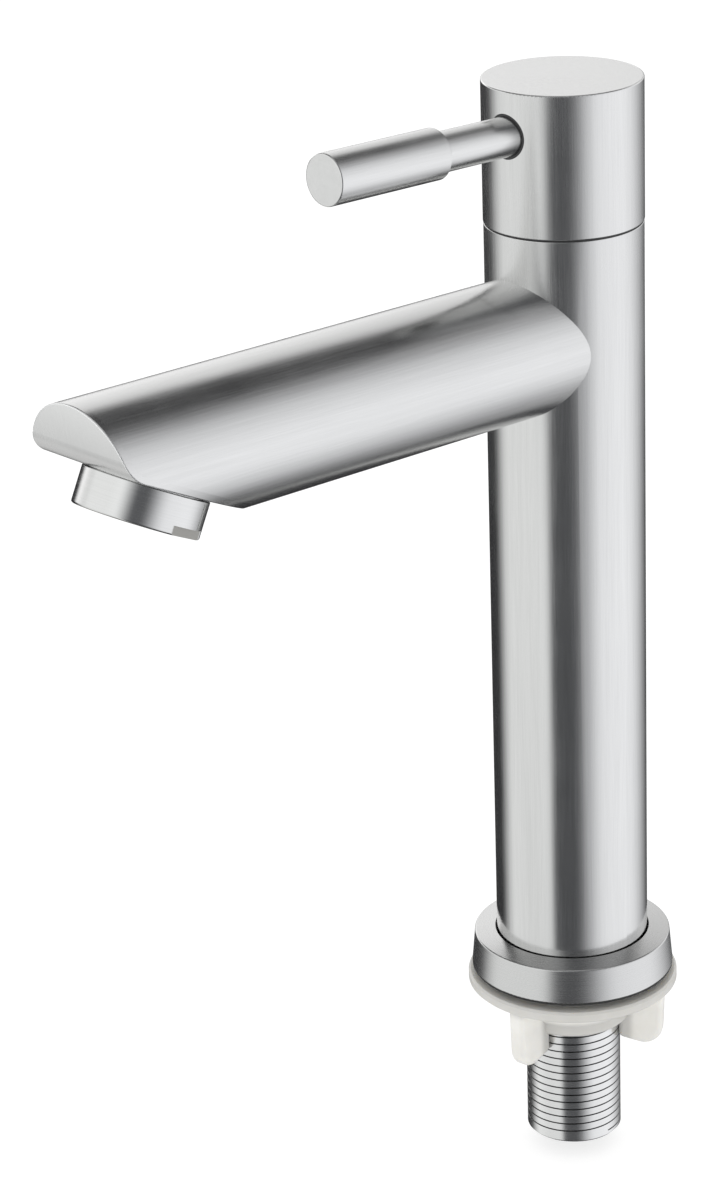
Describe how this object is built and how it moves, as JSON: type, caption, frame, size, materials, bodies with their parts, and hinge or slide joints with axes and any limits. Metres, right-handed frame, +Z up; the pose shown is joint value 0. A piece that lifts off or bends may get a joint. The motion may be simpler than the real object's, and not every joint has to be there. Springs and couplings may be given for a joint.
{
  "type": "basin tap",
  "caption": "Tall cold water basin tap: round stainless column, welded round spout with a raked outlet, turning cap with a thin lever, threaded tail and plastic wing backnut.",
  "frame": {"origin": "centre of the base flange's underside, on the column axis, in the plane of the deck", "axes": "+Z up along the column, -Y from the column towards the outlet and the closed lever, +X to the right as seen from behind the tap"},
  "size_m": [0.0462, 0.1554, 0.2415],
  "materials": {
    "steel": "fine satin brushed stainless steel",
    "steel_plain": "turned stainless steel",
    "steel_bright": "smooth satin stainless steel",
    "brass": "turned brass",
    "rubber": "matt black nitrile",
    "ivory_plastic": "translucent white moulded plastic",
    "white_plastic": "white moulded plastic",
    "black_plastic": "black acetal",
    "ceramic": "lapped alumina"
  },
  "bodies": {
    "tap_body": {"base_flange": "steel", "rim_seal": "rubber", "base_gasket": "rubber", "column_foot_plug": "steel_plain", "threaded_shank": "steel_plain", "column_tube": "steel", "spout_tube": "steel", "spout_end_plate": "steel", "outlet_boss": "steel_plain", "supply_riser": "steel_plain", "valve_seat_body": "brass", "seat_body_o_ring": "rubber", "headwork_housing": "brass", "headwork_o_ring": "rubber", "seat_seal": "rubber", "fixed_disc": "ceramic", "retaining_nut": "brass", "glide_ring": "black_plastic"},
    "handle": {"handle_cap": "steel", "lever_bush": "black_plastic", "handle_hub": "brass", "lever_rod": "steel", "lever_grip": "steel", "spindle": "brass", "spindle_o_rings": "rubber", "spindle_stop_washer": "steel_plain", "spindle_circlip": "steel_plain", "moving_disc": "ceramic"},
    "nut_washer": {"clamp_washer": "ivory_plastic"},
    "backnut": {"wing_nut": "ivory_plastic"},
    "aerator_seal": {"aerator_gasket": "rubber"},
    "aerator": {"aerator_housing": "steel_bright", "aerator_insert": "white_plastic", "aerator_screen": "steel_plain"}
  },
  "joints": [
    {"name": "handle_turn", "type": "hinge", "parent": "tap_body", "child": "handle", "pos_m": [0, 0, 0.17], "axis": [0, 0, 1], "range_deg": [0, 90]},
    {"name": "nut_slide", "type": "slide", "parent": "tap_body", "child": "nut_washer", "axis": [0, 0, 1], "range_m": [-0.02401, 0]},
    {"name": "nut_turn", "type": "hinge", "parent": "nut_washer", "child": "backnut", "pos_m": [0, 0, 0], "axis": [0, 0, 1], "range_deg": [-4762.95, 0]},
    {"name": "aerator_slide", "type": "slide", "parent": "tap_body", "child": "aerator_seal", "axis": [0, -0.4435, -0.8963], "range_m": [0, 0.00451]},
    {"name": "aerator_turn", "type": "hinge", "parent": "aerator_seal", "child": "aerator", "pos_m": [0, -0.11451, 0.14455], "axis": [0, -0.4435, -0.8963], "range_deg": [0, 1620]}
  ],
  "couplings": [
    {"joint": "nut_slide", "follows": "nut_turn", "m_per_rad": 0.00028871},
    {"joint": "aerator_slide", "follows": "aerator_turn", "m_per_rad": 0.00015915}
  ]
}
